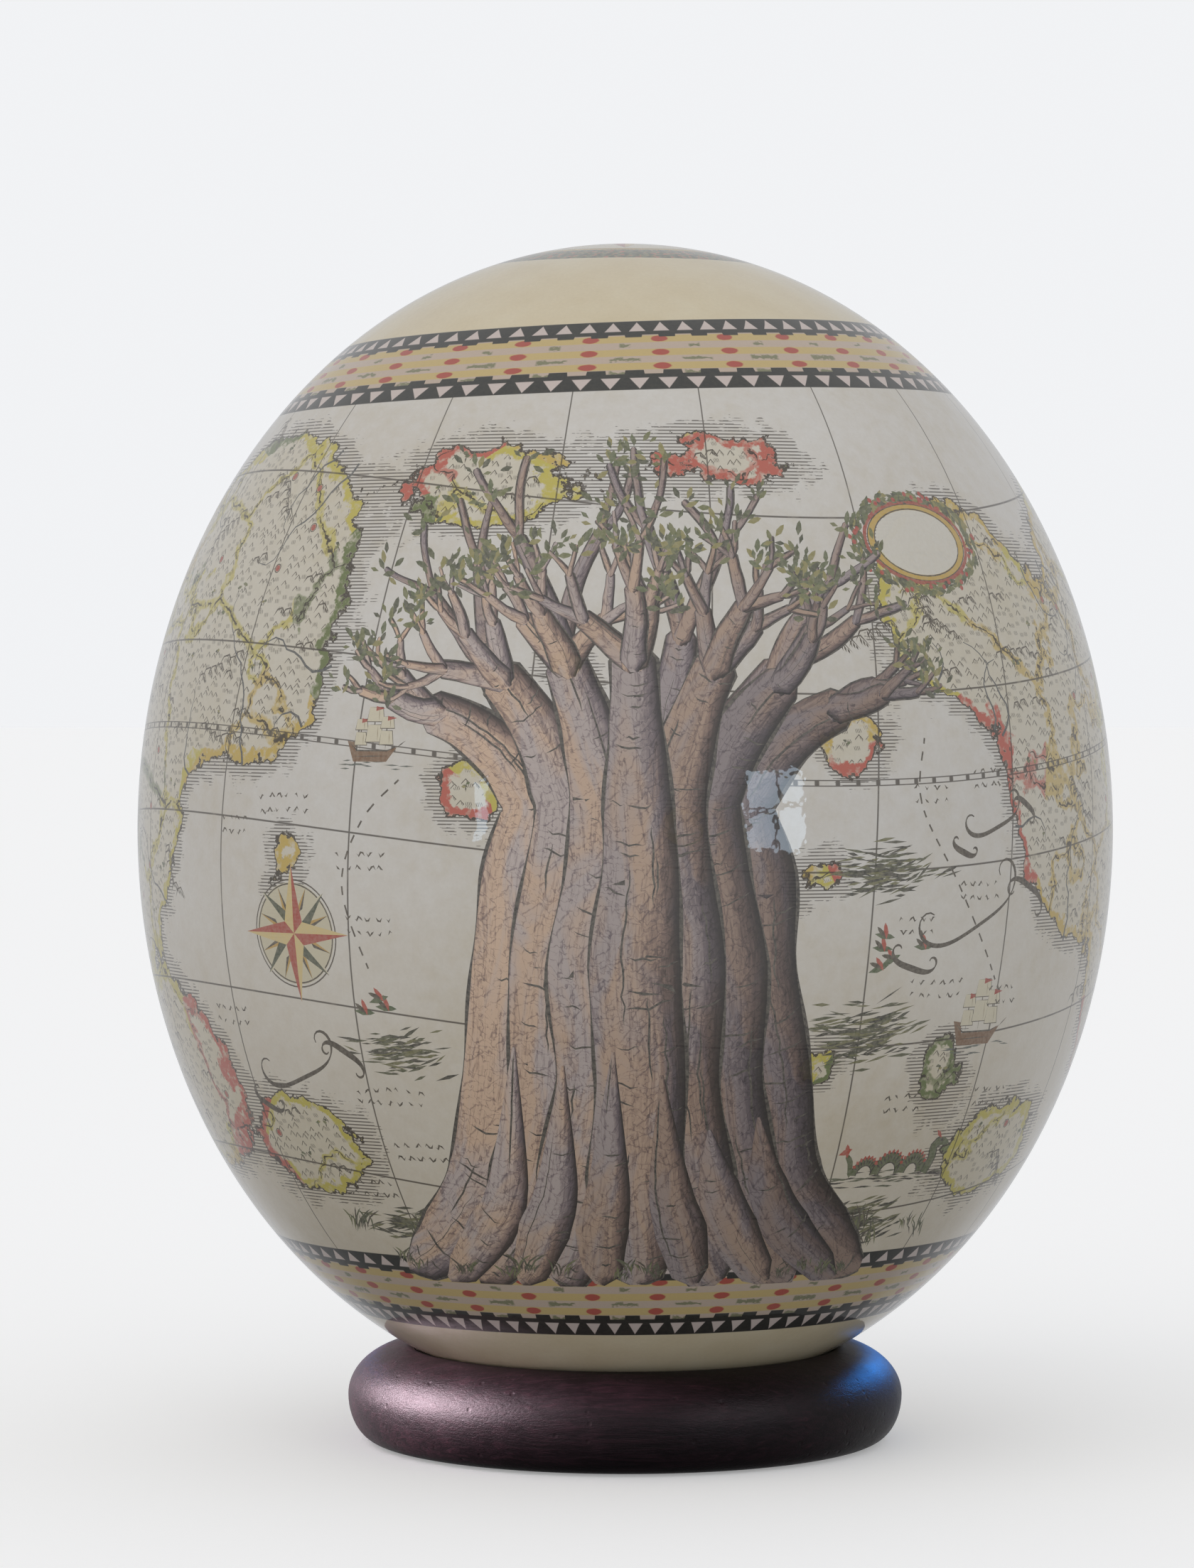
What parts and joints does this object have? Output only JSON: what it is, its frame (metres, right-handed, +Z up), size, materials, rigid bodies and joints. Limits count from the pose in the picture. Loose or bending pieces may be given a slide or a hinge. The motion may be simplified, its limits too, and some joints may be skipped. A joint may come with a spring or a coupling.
{
  "type": "decorated ostrich egg on a ring stand",
  "caption": "Lacquered ostrich egg with a printed paper skin, resting blunt end down in the dished seat of a turned dark wooden ring.",
  "frame": {"origin": "centre of the ring's underside, on the surface that the part stands on", "axes": "+Z up along the turning axis of the ring and the egg; the printed design's front faces -Y"},
  "size_m": [0.128, 0.128, 0.1571],
  "materials": {
    "lacquered_shell": "printed paper under a clear gloss lacquer",
    "dark_wood": "dark stain, satin"
  },
  "bodies": {
    "root": {"egg": "lacquered_shell", "ring_stand": "dark_wood"}
  },
  "joints": []
}
